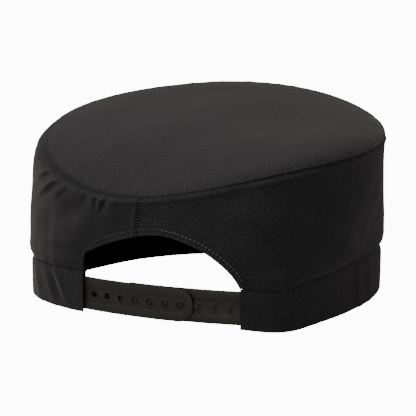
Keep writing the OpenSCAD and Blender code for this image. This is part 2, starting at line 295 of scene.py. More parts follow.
def wall_creases(a, z):
    """Gathers at the crown seam, creases, and the centre-back seam as a groove with a soft ridge."""
    run = run_of(wrap(a))
    below = np.clip(seam_z(a) - z, 0, None)
    settle = np.clip(below / 4.0, 0, 1) * np.clip((z - band_top(a)) / 4.0, 0, 1)
    total = 0.9 * round_ripple(run, z, 66, 3) + 0.3 * round_ripple(run, z, 24, 5)
    for at, size, lean in ((12, 0.3, 0.2), (19.5, 0.9, 0.5), (26, 0.6, 0.2), (33, 0.3, 0.6)):
        gather = bell(run - at - lean * below, 2.1)
        valley = bell(run - at + 2.9 - lean * below, 1.5)
        reach = bell(below - 4.0, 5.4)
        total = total + size * 1.15 * (gather - 0.9 * valley) * reach
    for k in range(WALL_PUCKERS):
        at = -GIRTH / 2 + GIRTH * (k + 0.37 * math.sin(5.3 * k)) / WALL_PUCKERS
        size = 0.28 + 0.16 * math.sin(3.7 * k + 1)
        total = total + size * bell(run_apart(run, at), 2.6) * bell(below, 9.0)
    for at_run, at_z, lean, length, size in (
        (70, 74, -24, 12, 1.3),
        (64, 67.5, -28, 13, 1.7),
        (52, 66, -32, 6, 0.9),
        (80, 82, -20, 12, 1.1),
    ):
        total = total + 0.9 * size * fold(run, z, at_run, at_z, lean, length, 1.4)
        total = total - 0.45 * size * fold(run, z, at_run, at_z - 3.0, lean, length, 1.9)
    total = add_folds(total, run, z, WALL_CREASES)
    off_seam = run - back_seam_run(z)
    groove = 0.45 * bell(off_seam - 2.2, 1.4) - 0.75 * bell(off_seam, 0.7)
    tuck = -(0.3 + 1.3 * bump(a, 58, 42)) * bell(below - 1.3, 1.1)
    return total * settle + groove * np.clip(below / 2.0, 0, 1) + tuck


def wall(a, z, inset=0.0):
    """A point of the side wall at an angle and a height, moved in by a distance."""
    a, z = np.broadcast_arrays(np.asarray(a, float), np.asarray(z, float))
    low, high = band_top(a), seam_z(a)
    w = np.clip((z - low) / (high - low), 0, 1)
    flat = band_xy(a, low) * (1 - w[..., None]) + crown_xy(a) * w[..., None]
    off = wall_fullness(a, w) + wall_creases(a, z) - inset
    xy = flat + out_dir(a) * off[..., None]
    return np.concatenate([xy, z[..., None]], -1)


def band(a, z, inset=0.0):
    a, z = np.broadcast_arrays(np.asarray(a, float), np.asarray(z, float))
    return np.concatenate([band_xy(a, z, inset), z[..., None]], -1)


def crown(a, share):
    """A point of the crown at a share of the way from its middle to its seam."""
    middle = np.array([0.0, CROWN_Y])
    edge = crown_xy(a)
    xy = middle + (edge - middle) * share[..., None]
    reach = np.linalg.norm(edge - middle, axis=-1)
    inward = reach * (1 - share)
    z = seam_z(a, share) + CROWN_RISE * 0.5 * (1 - share**2.4)
    drop = 1.4 + (4.0 * bump(a, -90, 48) + 1.0 * bump(a, 180, 60)) * share**2
    z = z + drop * (1 - np.exp(-inward / 6.0))
    x, y = xy[..., 0], xy[..., 1]
    slack = 0.6 * ripple(x, y, 92, 7) + 0.14 * ripple(x, y, 30, 9)
    z = z + slack * np.clip(inward / 22, 0, 1)
    run = run_of(a)
    pucker = 0.0
    for k in range(CROWN_PUCKERS):
        at = -GIRTH / 2 + GIRTH * (k + 0.33 * math.sin(4.1 * k)) / CROWN_PUCKERS
        size = 0.22 + 0.13 * math.sin(2.9 * k)
        pucker = pucker + size * bell(run_apart(run, at), 2.4)
    z = z + pucker * bell(inward - 5, 5.0)
    return np.concatenate([xy, z[..., None]], -1)


# ---- the rear arch ----

X_LEFT = plain_band(np.array(MOUTH_LEFT))[0]
X_RIGHT = plain_band(np.array(MOUTH_RIGHT))[0]
ARCH_TOP = 47.9
ARCH_TOP_AT = 48.6
ARCH_SHOULDER = 33.0
ARCH_RIGHT_FOOT = 19.5


def arch_height(s):
    """Height of the opening at a length from its left end: upright there, swept on the right."""
    left = np.clip((ARCH_TOP_AT - s) / ARCH_TOP_AT, 0, 1)
    z_left = ARCH_SHOULDER + (ARCH_TOP - ARCH_SHOULDER) * (1 - left**1.6)
    turn = 1 - np.clip(s / 2.6, 0, 1)
    z_left = z_left - (ARCH_SHOULDER - BAND_H) * (1 - np.sqrt(1 - turn**2))
    right = np.clip((s - ARCH_TOP_AT) / (ARCH_RUN + 0.35 - ARCH_TOP_AT), 0, 1)
    z_right = ARCH_RIGHT_FOOT + (ARCH_TOP - ARCH_RIGHT_FOOT) * (1 - right**1.65) ** 0.606
    return np.where(s < ARCH_TOP_AT, z_left, z_right)


def arch_angle(s):
    x = X_LEFT + (X_RIGHT - X_LEFT) * s / ARCH_RUN
    angles = np.linspace(MOUTH_RIGHT - 0.05, MOUTH_LEFT + 0.05, 800)
    return np.interp(x, plain_band(angles)[:, 0], angles)


def run_to_arch(angle):
    """Length from the opening's left end for an angle round the cap."""
    x = plain_band(np.array(angle))[0]
    return (x - X_LEFT) / (X_RIGHT - X_LEFT) * ARCH_RUN


def arch_edge(count):
    """Places along the opening's edge, evenly spaced, from its left end to its right end."""
    s = ARCH_RUN * (1 - np.cos(np.linspace(0, math.pi, 1500))) / 2
    s = np.concatenate([np.linspace(0, 1, 200) ** 3 * s[60], s[61:]])
    a, z = arch_angle(s), arch_height(s)
    z = np.maximum(z, band_top(a))
    run = np.concatenate([[0], np.cumsum(np.hypot(np.diff(run_of(a)), np.diff(z)))])
    at = np.linspace(0, run[-1], count)
    return np.interp(at, run, a), np.interp(at, run, z), run[-1]


def arch_offset(a, z):
    """Direction into the cloth at each place of the edge, as lengths along the band and up."""
    d_run, d_z = np.gradient(run_of(a)), np.gradient(z)
    length = np.hypot(d_run, d_z)
    return d_z / length, -d_run / length


def arch_point(a, z, into, deep, off):
    """A point off the edge: so far into the cloth and so far off its outer face."""
    return wall(angle_at(run_of(a) + into[0] * deep), z + into[1] * deep, -off)


# ---- meshes ----


def hex_colour(code):
    parts = [int(code[i : i + 2], 16) / 255 for i in (1, 3, 5)]
    return [c / 12.92 if c <= 0.04045 else ((c + 0.055) / 1.055) ** 2.4 for c in parts] + [1.0]


def new_object(name, points, faces, uvs=None, wear_and_painted_shade=None):
    """A mesh object from points in millimetres; uvs are in metres, a pair for each face corner."""
    mesh = bpy.data.meshes.new(name)
    mesh.from_pydata((np.asarray(points, float) * MM).tolist(), [], faces)
    if uvs is not None:
        layer = mesh.uv_layers.new(name="cloth")
        layer.data.foreach_set("uv", np.asarray(uvs, np.float32).ravel())
    # The vertex attribute holds real wear above nought, which pales the cloth, and painted shade
    # below nought, which darkens it.
    if wear_and_painted_shade is not None:
        rub_and_painted_shade = mesh.attributes.new("wear_and_painted_shade", "FLOAT", "POINT")
        rub_and_painted_shade.data.foreach_set("value", np.asarray(wear_and_painted_shade, np.float32).ravel())
    mesh.update()
    piece = bpy.data.objects.new(name, mesh)
    bpy.context.scene.collection.objects.link(piece)
    return piece


def pick(piece):
    bpy.ops.object.select_all(action="DESELECT")
    bpy.context.view_layer.objects.active = piece
    piece.select_set(True)


def modify(piece, kind, **settings):
    pick(piece)
    made = piece.modifiers.new(kind.lower(), kind)
    for key, value in settings.items():
        setattr(made, key, value)
    bpy.ops.object.modifier_apply(modifier=made.name)


def smooth(piece, degrees=50):
    pick(piece)
    bpy.ops.object.shade_smooth_by_angle(angle=math.radians(degrees))


def cloth_grid(name, grid, uv, thick, wear_and_painted_shade=None, closed=False, cap=None):
    """A sheet of cloth from columns of points, given a thickness on its inner side."""
    m, n = grid.shape[:2]
    columns = m if closed else m - 1
    i, j = np.meshgrid(np.arange(columns), np.arange(n - 1), indexing="ij")
    i, j = i.ravel(), j.ravel()
    k = (i + 1) % m
    faces = np.stack([i * n + j, i * n + j + 1, k * n + j + 1, k * n + j], -1).tolist()
    flat = uv.reshape(-1, 2)
    uvs = np.stack([i * n + j, i * n + j + 1, (i + 1) * n + j + 1, (i + 1) * n + j], -1)
    uvs = flat[uvs].reshape(-1, 2)
    points = grid.reshape(-1, 3)
    rub_and_painted_shade = np.zeros(len(points)) if wear_and_painted_shade is None else wear_and_painted_shade.ravel()
    if cap is not None:
        points = np.concatenate([points, [cap[0]]])
        rub_and_painted_shade = np.append(rub_and_painted_shade, 0.0)
        faces += [[c * n + n - 1, m * n, ((c + 1) % m) * n + n - 1] for c in range(m)]
        ends = [[flat[c * n + n - 1], cap[1], flat[(c + 1) * n + n - 1]] for c in range(m)]
        uvs = np.concatenate([uvs, np.array(ends).reshape(-1, 2)])
    piece = new_object(name, points, faces, uvs, rub_and_painted_shade)
    modify(piece, "SOLIDIFY", thickness=thick * MM, offset=-1.0, use_rim=True)
    smooth(piece)
    return piece


def uv_of(across, up):
    across, up = np.broadcast_arrays(across, up)
    return np.stack([across, up], -1) * MM


def finish_piece(piece, body, slot, material, *nodes):
    piece.data.materials.clear()
    piece.data.materials.append(material)
    if body:
        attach(piece, body)
    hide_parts(*nodes)
    return piece


# ---- materials ----


def node(tree, kind, inputs=None, **settings):
    """Adds a node, sets what is given and links the sockets that are handed in."""
    made = tree.nodes.new(kind)
    for key, value in settings.items():
        setattr(made, key, value)
    for key, value in (inputs or {}).items():
        if isinstance(value, bpy.types.NodeSocket):
            tree.links.new(value, made.inputs[key])
        else:
            made.inputs[key].default_value = value
    return made


def new_material(name):
    made = bpy.data.materials.new(name)
    made.use_nodes = True
    made.node_tree.nodes.clear()
    return made, made.node_tree


def close_material(tree, colour, roughness, normal, **fixed):
    shader = node(
        tree,
        "ShaderNodeBsdfPrincipled",
        {"Base Color": colour, "Roughness": roughness, "Normal": normal, **fixed},
    )
    node(tree, "ShaderNodeOutputMaterial", {"Surface": shader.outputs[0]})


def wave_scale(spacing, diagonal=False):
    """Wave Texture scale for bands that far apart in millimetres, on coordinates in metres."""
    return TURN / (10 * math.sqrt(2) * spacing * MM) if diagonal else TURN / (20 * spacing * MM)


def woven(name, dark, light, worn, rib, rib_depth, mottle, sheen, lint=0.5, plain=False):
    """Woven cloth: raised ribs, uneven yarn, faded patches, lint, rubbed edges and painted shade in
    creases.
    """
    made, tree = new_material(name)
    where = node(tree, "ShaderNodeTexCoord").outputs["UV"]
    ribs = node(
        tree,
        "ShaderNodeTexWave",
        {
            "Vector": where,
            "Scale": wave_scale(rib, not plain),
            "Distortion": 1.6,
            "Detail": 2.0,
            "Detail Scale": 1.5,
        },
        bands_direction="Y" if plain else "DIAGONAL",
    ).outputs["Fac"]
    picks = node(
        tree,
        "ShaderNodeTexWave",
        {"Vector": where, "Scale": wave_scale(rib * 0.8), "Distortion": 2.0, "Detail": 2.0},
        bands_direction="X",
    ).outputs["Fac"]
    yarn = node(
        tree, "ShaderNodeTexNoise", {"Vector": where, "Scale": 1 / (1.3 * MM), "Detail": 4.0}
    ).outputs["Fac"]
    patches = node(
        tree,
        "ShaderNodeTexNoise",
        {"Vector": where, "Scale": 1 / (mottle * MM), "Detail": 5.0, "Roughness": 0.6},
    ).outputs["Fac"]
    weave = node(
        tree, "ShaderNodeMath", {0: ribs, 1: 0.62, 2: picks}, operation="MULTIPLY_ADD"
    ).outputs[0]
    weave = node(
        tree, "ShaderNodeMapRange", {"Value": weave, "From Min": 0.2, "From Max": 1.4}
    ).outputs[0]
    speck = node(
        tree, "ShaderNodeMapRange", {"Value": yarn, "From Min": 0.36, "From Max": 0.66}
    ).outputs[0]
    grain = node(tree, "ShaderNodeMix", {0: 0.55, 2: weave, 3: speck}, data_type="FLOAT").outputs[0]
    cloth = node(
        tree,
        "ShaderNodeMix",
        {0: grain, 6: hex_colour(dark), 7: hex_colour(light)},
        data_type="RGBA",
    ).outputs[2]
    faded = node(
        tree,
        "ShaderNodeMapRange",
        {"Value": patches, "From Min": 0.38, "From Max": 0.68, "To Min": 0.0, "To Max": 0.3},
    ).outputs[0]
    rub_and_painted_shade = node(tree, "ShaderNodeAttribute", attribute_name="wear_and_painted_shade").outputs["Fac"]
    rubbed = node(
        tree, "ShaderNodeMath", {0: rub_and_painted_shade, 1: speck}, operation="MULTIPLY", use_clamp=True
    ).outputs[0]
    # Painted shade: where the vertex attribute falls below nought, the cloth is mixed towards
    # near-black #020202 to stand in for shade in creases and along seams.
    painted_crease_shade = node(
        tree, "ShaderNodeMapRange", {"Value": rub_and_painted_shade, "From Min": 0.0, "From Max": -1.0}
    ).outputs[0]
    dust = node(
        tree,
        "ShaderNodeTexVoronoi",
        {"Vector": where, "Scale": 1 / (13 * MM), "Randomness": 1.0},
    ).outputs["Distance"]
    dust = node(
        tree,
        "ShaderNodeMapRange",
        {"Value": dust, "From Min": 0.04, "From Max": 0.02, "To Max": lint},
    ).outputs[0]
    for share, over in ((faded, worn), (rubbed, worn), (painted_crease_shade, "#020202"), (dust, "#4A4543")):
        cloth = node(
            tree, "ShaderNodeMix", {0: share, 6: cloth, 7: hex_colour(over)}, data_type="RGBA"
        ).outputs[2]
    rough = node(
        tree, "ShaderNodeMapRange", {"Value": grain, "To Min": 0.97, "To Max": 0.8}
    ).outputs[0]
    normal = node(
        tree,
        "ShaderNodeBump",
        {"Height": grain, "Strength": 0.75, "Distance": rib_depth * MM},
    ).outputs[0]
    normal = node(
        tree,
        "ShaderNodeBump",
        {"Height": patches, "Strength": 0.5, "Distance": 0.3 * MM, "Normal": normal},
    ).outputs[0]
    close_material(
        tree,
        cloth,
        rough,
        normal,
        **{
            "Sheen Weight": sheen,
            "Sheen Roughness": 0.45,
            "Sheen Tint": hex_colour("#D6C9C4"),
            "Specular IOR Level": 0.22,
            "IOR": 1.53,
        },
    )
    return made


def moulded(name, base, pale):
    """Injection-moulded polyethylene: a fine satin skin, slightly scuffed and a little cloudy."""
    made, tree = new_material(name)
    where = node(tree, "ShaderNodeTexCoord").outputs["Object"]
    skin = node(
        tree, "ShaderNodeTexNoise", {"Vector": where, "Scale": 1 / (0.7 * MM), "Detail": 3.0}
    ).outputs["Fac"]
    cloud = node(
        tree, "ShaderNodeTexNoise", {"Vector": where, "Scale": 1 / (9 * MM), "Detail": 4.0}
    ).outputs["Fac"]
    streak = node(tree, "ShaderNodeMapping", {"Vector": where, "Scale": (1.0, 1.0, 9.0)})
    scuff = node(
        tree,
        "ShaderNodeTexNoise",
        {"Vector": streak.outputs[0], "Scale": 1 / (3.2 * MM), "Detail": 6.0, "Roughness": 0.7},
    ).outputs["Fac"]
    pale_share = node(
        tree,
        "ShaderNodeMapRange",
        {"Value": cloud, "From Min": 0.35, "From Max": 0.7, "To Max": 0.7},
    ).outputs[0]
    colour = node(
        tree,
        "ShaderNodeMix",
        {0: pale_share, 6: hex_colour(base), 7: hex_colour(pale)},
        data_type="RGBA",
    ).outputs[2]
    scuffed = node(
        tree,
        "ShaderNodeMapRange",
        {"Value": scuff, "From Min": 0.6, "From Max": 0.78, "To Max": 0.5},
    ).outputs[0]
    colour = node(
        tree,
        "ShaderNodeMix",
        {0: scuffed, 6: colour, 7: hex_colour("#37342E")},
        data_type="RGBA",
    ).outputs[2]
    rough = node(
        tree, "ShaderNodeMapRange", {"Value": scuff, "To Min": 0.42, "To Max": 0.68}
    ).outputs[0]
    normal = node(
        tree, "ShaderNodeBump", {"Height": skin, "Strength": 0.35, "Distance": 0.08 * MM}
    ).outputs[0]
    close_material(tree, colour, rough, normal, **{"Specular IOR Level": 0.4, "IOR": 1.51})
    return made


def spun(name, dark, light):
    """Spun polyester sewing thread: two plies twisted round each other, with a slight gleam."""
    made, tree = new_material(name)
    where = node(tree, "ShaderNodeTexCoord").outputs["Object"]
    ply = node(
        tree,
        "ShaderNodeTexWave",
        {"Vector": where, "Scale": wave_scale(0.5, True), "Distortion": 1.0},
        bands_direction="DIAGONAL",
    ).outputs["Fac"]
    fluff = node(
        tree, "ShaderNodeTexNoise", {"Vector": where, "Scale": 1 / (1.5 * MM), "Detail": 3.0}
    ).outputs["Fac"]
    share = node(tree, "ShaderNodeMath", {0: ply, 1: fluff}, operation="MULTIPLY").outputs[0]
    colour = node(
        tree,
        "ShaderNodeMix",
        {0: share, 6: hex_colour(dark), 7: hex_colour(light)},
        data_type="RGBA",
    ).outputs[2]
    rough = node(
        tree, "ShaderNodeMapRange", {"Value": fluff, "To Min": 0.45, "To Max": 0.75}
    ).outputs[0]
    normal = node(
        tree, "ShaderNodeBump", {"Height": ply, "Strength": 0.6, "Distance": 0.05 * MM}
    ).outputs[0]
    close_material(tree, colour, rough, normal, **{"Sheen Weight": 0.2, "IOR": 1.57})
    return made


# Black poly-cotton twill: matt, warm where it has faded; the diagonal rib is drawn 1.1 mm apart,
# about twice the real one, so that it shows
TWILL = woven("poly_cotton_twill_black", "#060606", "#292728", "#262424", 1.1, 0.24, 14, 0.14)
# The same cloth where it is folded and pressed, rubbed paler and smoother by wear
TWILL_EDGE = woven(
    "poly_cotton_twill_pressed_edge", "#0A0A0A", "#1E1D1D", "#2C2A2A", 0.9, 0.12, 6, 0.16
)
# Plain-woven cotton for the parts against the head: flat, dense and darker
LINING = woven(
    "plain_cotton_lining_black", "#121214", "#212124", "#2A2A2E", 0.8, 0.1, 11, 0.1, 0.25, True
)
# Woven satin label tape, off white with a fine horizontal rib
LABEL = woven(
    "woven_polyester_label_tape", "#B8B4A8", "#D2CEC4", "#A8A294", 0.6, 0.06, 8, 0.15, 0.0, True
)
# Low-density polyethylene size strap, moulded, olive black with a satin skin
MOULDED = moulded("moulded_polyethylene_olive_black", "#14100A", "#211B10")
# Black sewing thread that catches the light on its twist
THREAD = spun("spun_polyester_thread_black", "#0C0B0B", "#201D1D")
# The same thread coloured pale grey as a painted highlight, so that the right-hand row of stitches
# on the opening looks lit
THREAD_PAINTED_HIGHLIGHT = spun("spun_polyester_thread_painted_highlight", "#3A3534", "#787170")


# ---- crown and wall ----


def make_crown():
    m, n = 420, 64
    a = np.linspace(-math.pi, math.pi, m, endpoint=False)[:, None]
    share = 1 - np.linspace(0, 0.985, n)[None, :] ** 1.35
    a, share = np.broadcast_arrays(a, share)
    grid = crown(a, share)
    middle = crown(np.array([0.0]), np.array([0.0]))[0]
    uv = grid[..., :2] * MM
    uv = np.concatenate([uv, uv[:1]])
    # Painted shade: the crown darkens in a thin ring just inside its seam, most on the wearer's
    # left.
    rub_and_painted_shade = -0.85 * np.exp(-((1 - share) * 95 / 0.9)) * (0.35 + 0.65 * bump(a, 45, 60))
    piece = cloth_grid(
        "crown_cloth", grid, uv, CLOTH_T, rub_and_painted_shade, closed=True, cap=(middle, middle[:2] * MM)
    )
    return finish_piece(piece, "cap", "twill", TWILL, "crown_panel")


def wall_columns():
    """Where each column of the wall stands at its foot and at the crown seam."""
    foot_a, foot_z, _ = arch_edge(190)
    middle = int(np.argmin(np.abs(foot_a)))
    foot_a[middle] = 0.0
    last = len(foot_a) - 1
    top = np.interp(np.arange(last + 1), [0, middle, last], [MOUTH_LEFT, 0.0, MOUTH_RIGHT])
    finer = np.union1d(np.arange(last + 1), np.round(middle + np.arange(-4, 9, 0.25), 3))
    foot_a, foot_z, top = (np.interp(finer, np.arange(last + 1), v) for v in (foot_a, foot_z, top))
    far = np.linspace(MOUTH_RIGHT, MOUTH_LEFT - TURN, 430)[1:-1]
    foot_a = np.concatenate([foot_a, far])[::-1]
    foot_z = np.concatenate([foot_z, band_top(far)])[::-1]
    top = np.concatenate([top, far])[::-1]
    return foot_a, foot_z, top


def make_wall():
    foot_a, foot_z, top_a = wall_columns()
    n = 64
    v = np.linspace(0, 1, n)
    v = (v - 0.12 * np.sin(TURN * v))[None, :]
    a = foot_a[:, None] * (1 - v) + top_a[:, None] * v
    z_top = seam_z(top_a)
    z = foot_z[:, None] * (1 - v) + z_top[:, None] * v
    grid = wall(a, z)
    run = run_of(np.concatenate([a, a[:1] + TURN]))
    uv = uv_of(run, np.concatenate([z, z[:1]]))
    below = seam_z(a) - z
    # Real wear: the cloth is paler along the band seam.
    rub_and_painted_shade = 0.5 * np.exp(-np.abs(z - band_top(a)) / 1.2)
    # Painted shade: darker just below the crown seam, over the shoulder on the wearer's left, and
    # down the centre-back seam's groove.
    rub_and_painted_shade = rub_and_painted_shade - (0.5 + 0.5 * bump(a, 45, 60)) * bell(below, 1.8)
    rub_and_painted_shade = rub_and_painted_shade - 0.35 * bump(a, 50, 40) * np.exp(-below / 9)
    rub_and_painted_shade = rub_and_painted_shade - bell(run_of(wrap(a)) - back_seam_run(z) + 0.2, 0.7)
    piece = cloth_grid("wall_cloth", grid, uv, CLOTH_T, rub_and_painted_shade, closed=True)
    return finish_piece(piece, "cap", "twill", TWILL, "side_wall")


def bead_ring(name, centre, side, up, radius, wear_and_painted_shade):
    """A thin round edge swept along a row of places that meets itself."""
    t = np.linspace(0, TURN, 8, endpoint=False)
    ring = centre[:, None] + radius * (
        side[:, None] * np.cos(t)[None, :, None] + up[:, None] * np.sin(t)[None, :, None]
    )
    m, n = ring.shape[:2]
    faces = []
    for i in range(m):
        here, there = i * n, (i + 1) % m * n
        faces += [[here + j, there + j, there + (j + 1) % n, here + (j + 1) % n] for j in range(n)]
    length = np.concatenate([[0], np.cumsum(np.linalg.norm(np.diff(centre, axis=0), axis=1))])
    uvs = []
    for face in faces:
        uvs += [[length[p // n] * MM, (p % n) * radius * 0.8 * MM] for p in face]
    piece = new_object(name, ring.reshape(-1, 3), faces, uvs, np.repeat(wear_and_painted_shade, n))
    pick(piece)
    bpy.ops.object.mode_set(mode="EDIT")
    bpy.ops.mesh.select_all(action="SELECT")
    bpy.ops.mesh.normals_make_consistent(inside=False)
    bpy.ops.object.mode_set(mode="OBJECT")
    smooth(piece)
    return piece


def make_seam_edge():
    """The turned edge of the crown seam: proud on the right, sunk on the left, where painted shade
    darkens it.
    """
    a = np.linspace(-math.pi, math.pi, 540, endpoint=False)
    out = out_dir(a)
    xy = crown_xy(a)
    proud = -0.1 + 0.4 * bump(a, -85, 60) + 0.2 * bump(a, 170, 50)
    wobble = 0.12 * round_ripple(run_of(a), 0, 9, 2)
    centre = np.concatenate([xy + out * (proud + wobble)[:, None], (seam_z(a) - 0.1)[:, None]], 1)
    side = np.concatenate([out, np.zeros((len(a), 1))], 1)
    up = np.tile([0.0, 0.0, 1.0], (len(a), 1))
    # Painted shade on the left part of the edge; elsewhere a little real wear pales it.
    wear_and_painted_shade = 0.3 - 1.1 * bump(a, 35, 60)
    piece = bead_ring("crown_seam_edge", centre, side, up, 0.42, wear_and_painted_shade)
    return finish_piece(piece, "cap", "twill_edge", TWILL_EDGE, "crown_seam_ridge")


# ---- band, binding and the parts inside ----


def strip_cloth(name, start, end, rows, thick, count, wear_and_painted_shade=None):
    """A sheet along the band between two angles; rows are (height, inset) functions of angle."""
    a = np.linspace(start, end, count)[:, None]
    z = np.stack([row[0](a[:, 0]) for row in rows], 1)
    inset = np.stack([row[1](a[:, 0]) for row in rows], 1)
    grid = band(np.broadcast_to(a, z.shape), z, inset)
    up = np.cumsum(np.concatenate([[0], np.full(len(rows) - 1, row_gap(z, inset))]))
    uv = uv_of(run_of(a), up[None, :])
    rub_and_painted_shade = np.zeros(z.shape) if wear_and_painted_shade is None else np.broadcast_to(wear_and_painted_shade, z.shape)
    return cloth_grid(name, grid, uv, thick, rub_and_painted_shade)


def row_gap(z, inset):
    return float(np.mean(np.hypot(np.diff(z, axis=1), np.diff(inset, axis=1))))


def make_band():
    """Head band: one strip of twill folded at the hem, its two layers pressed together."""
    layer = 0.45
    gap = 0.55
    hem_r = 0.55

    def outer(share):
        return lambda a: hem_z(a) + hem_r + (band_top(a) - 0.1 - hem_z(a) - hem_r) * share

    rows = []
    for share in np.linspace(1, 0, 26):
        rows.append((outer(share), lambda a: a * 0))
    for t in np.linspace(0, math.pi, 9)[1:-1]:
        rows.append(
            (
                lambda a, t=t: hem_z(a) + hem_r - hem_r * math.sin(t),
                lambda a, t=t: a * 0 + gap * (1 - math.cos(t)) / 2,
            )
        )
    for share in np.linspace(0, 0.97, 18):
        rows.append((outer(share), lambda a: a * 0 + gap + 0.1))
    wear_and_painted_shade = np.array([0.0] * 18 + [0.9] * 7 + list(0.7 * np.exp(-np.linspace(0, 9, 26))))
    ends = (MOUTH_LEFT, TURN + MOUTH_RIGHT)
    piece = strip_cloth("head_band_cloth", *ends, rows[::-1], layer, 470, wear_and_painted_shade)
    return finish_piece(piece, "cap", "twill", TWILL, "head_band")


def make_inner_strip(name, node_name, material, slot, ends, inset, low, high, thick):
    """A strip inside the band that stops short of its mouths by a length."""
    left_mouth_r, right_mouth_r = 92, 98
    start = MOUTH_LEFT + ends / left_mouth_r
    end = TURN + MOUTH_RIGHT - ends / right_mouth_r
    rows = []
    for share in np.linspace(0, 1, 12):
        rows.append((lambda a, s=share: hem_z(a) + low + (high - low) * s, lambda a: a * 0 + inset))
    piece = strip_cloth(name, start, end, rows, thick, 300)
    return finish_piece(piece, "cap", slot, material, node_name)


def make_binding():
    """The strip folded over the opening's edge: 3.6 mm on the outside, 3.6 mm on the inside."""
    a, z, length = arch_edge(200)
    into = arch_offset(a, z)
    lift_off = 0.42
    section = [(BINDING_W - 0.6 * k, lift_off) for k in range(7)]
    for t in np.linspace(0, math.pi, 9):
        half_turn = -CLOTH_T / 2 + (lift_off + CLOTH_T / 2) * math.cos(t)
        section.append((-0.45 * math.sin(t), half_turn))
    section += [(0.6 * k, -CLOTH_T - lift_off) for k in range(1, 7)]
    run = np.linspace(0, length, len(a))
    pinch = 0.16 * ripple(run, 0, 7, 4) + 0.12 * np.sin(run * TURN / 2.6)
    narrow = 0.3 + 0.7 * np.clip(run / 16, 0, 1)
    columns = []
    for width, off in section:
        deep = width * (narrow if width > 0 else 1)
        lift = pinch * math.exp(-((width - 1.6) ** 2)) if off > 0 else 0 * pinch
        columns.append(arch_point(a, z, into, deep, off + lift))
    grid = np.stack(columns, 1)[::-1, ::-1]
    gaps = [math.dist(p, q) for p, q in zip(section, section[1:])]
    up = np.concatenate([[0], np.cumsum(gaps)])
    uv = uv_of(run[:, None], up[None, :])
    rub_and_painted_shade = np.array([0.9 if abs(deep) < 1.3 else 0.35 for deep, _ in section])
    rub_and_painted_shade = np.broadcast_to(rub_and_painted_shade, grid.shape[:2])
    piece = cloth_grid("opening_binding_cloth", grid, uv, 0.4, rub_and_painted_shade)
    return finish_piece(piece, "cap", "twill_edge", TWILL_EDGE, "opening_binding")


def make_crown_allowance():
    """The raw edges of the crown seam, turned down inside the wall and a little frayed."""
    shallow = 1.6
    a = np.linspace(-math.pi, math.pi, 360, endpoint=False)[:, None]
    uv_up = -np.linspace(9.5, shallow, 8)[None, :]
    uv = uv_of(run_of(np.concatenate([a, a[:1] + TURN])), uv_up)
    a, deep = np.broadcast_arrays(a, -uv_up)
    fray = 0.35 * ripple(run_of(a), deep, 6, 8)
    grid = wall(a, seam_z(a) - deep - fray * (deep > 8), 1.7 + 0.06 * (deep - shallow))
    piece = cloth_grid("crown_seam_allowance_cloth", grid, uv, 0.6, closed=True)
    return finish_piece(piece, "cap", "lining", TWILL_EDGE, "crown_seam_allowance")


def make_back_allowance():
    """The raw edges of the centre-back seam, pressed open against the wall."""
    half = 7.2
    low, high = ARCH_TOP + 4.0, seam_z(np.array(0.0)) - 1.8
    z = np.linspace(low, high, 16)[None, :]
    run = np.linspace(-half, half, 22)[:, None]
    curl = 0.5 * (np.abs(run) / half) ** 3 * np.clip((high - 10 - z) / 2, 0, 1)
    grid = wall(angle_at(run) + 0 * z, z + 0 * run, CLOTH_T + 0.2 + curl)
    piece = cloth_grid("back_seam_allowance_cloth", grid, uv_of(run, z), 0.5)
    return finish_piece(piece, "cap", "lining", TWILL_EDGE, "back_seam_allowance")


# ---- stitches ----


def one_stitch():
    """A thread's short run on the cloth: a rod drawn in at both ends, as its needle holes do."""
    bpy.ops.mesh.primitive_cylinder_add(vertices=6, radius=0.5, depth=0.7, location=(0, 0, 0))
    rod = bpy.context.object
    bpy.ops.object.mode_set(mode="EDIT")
    bpy.ops.mesh.select_all(action="DESELECT")
    shape = bmesh.from_edit_mesh(rod.data)
    for end in (-1, 1):
        bpy.ops.mesh.select_all(action="DESELECT")
        for face in shape.faces:
            if face.normal.z * end > 0.9:
                face.select = True
        bmesh.update_edit_mesh(rod.data)
        bpy.ops.mesh.extrude_region_move(TRANSFORM_OT_translate={"value": (0, 0, 0.15 * end)})
        bpy.ops.transform.resize(value=(0.45, 0.45, 1.0))
        shape = bmesh.from_edit_mesh(rod.data)
    bpy.ops.object.mode_set(mode="OBJECT")
    points = np.array([v.co for v in rod.data.vertices])
    faces = [list(p.vertices) for p in rod.data.polygons]
    bpy.data.objects.remove(rod)
    return points, faces


STITCH_POINTS, STITCH_FACES = one_stitch()


def sew(name, starts, ends, outward, radius, material, *nodes):
    """Copies of the stitch from each start to its end, half sunk in the cloth."""
    points, faces = [], []
    x, y, z = (STITCH_POINTS[:, k : k + 1] for k in range(3))
    arch = 0.35 * radius * (1 - (2 * z) ** 2)
    for p, q, n in zip(starts, ends, outward):
        along = q - p
        length = np.linalg.norm(along)
        along = along / length
        side = np.cross(n, along)
        side /= np.linalg.norm(side)
        n = np.cross(along, side)
        base = len(points) * len(STITCH_POINTS)
        across = side * x * 2 * radius
        points.append((p + q) / 2 + across + n * (y * 2 * radius + arch) + along * z * length)
        faces += [[base + v for v in face] for face in STITCH_FACES]
    piece = new_object(name, np.concatenate(points), faces)
    smooth(piece, 60)
    return finish_piece(piece, "cap", "thread", material, *nodes)


def stitch_run(line, pitch, share, normals):
    """Stitch starts and ends at a pitch along a dense line of points."""
    steps = np.linalg.norm(np.diff(line, axis=0), axis=1)
    run = np.concatenate([[0], np.cumsum(steps)])
    count = max(2, int(run[-1] / pitch))
    at = np.arange(count) * run[-1] / count

    def along(s):
        return np.stack([np.interp(s, run, line[:, k]) for k in range(3)], 1)

    outward = np.stack([np.interp(at, run, normals[:, k]) for k in range(3)], 1)
    return along(at), along(at + share * run[-1] / count), outward


def flat_out(a):
    out = out_dir(a)
    return np.concatenate([out, np.zeros((len(out), 1))], 1)


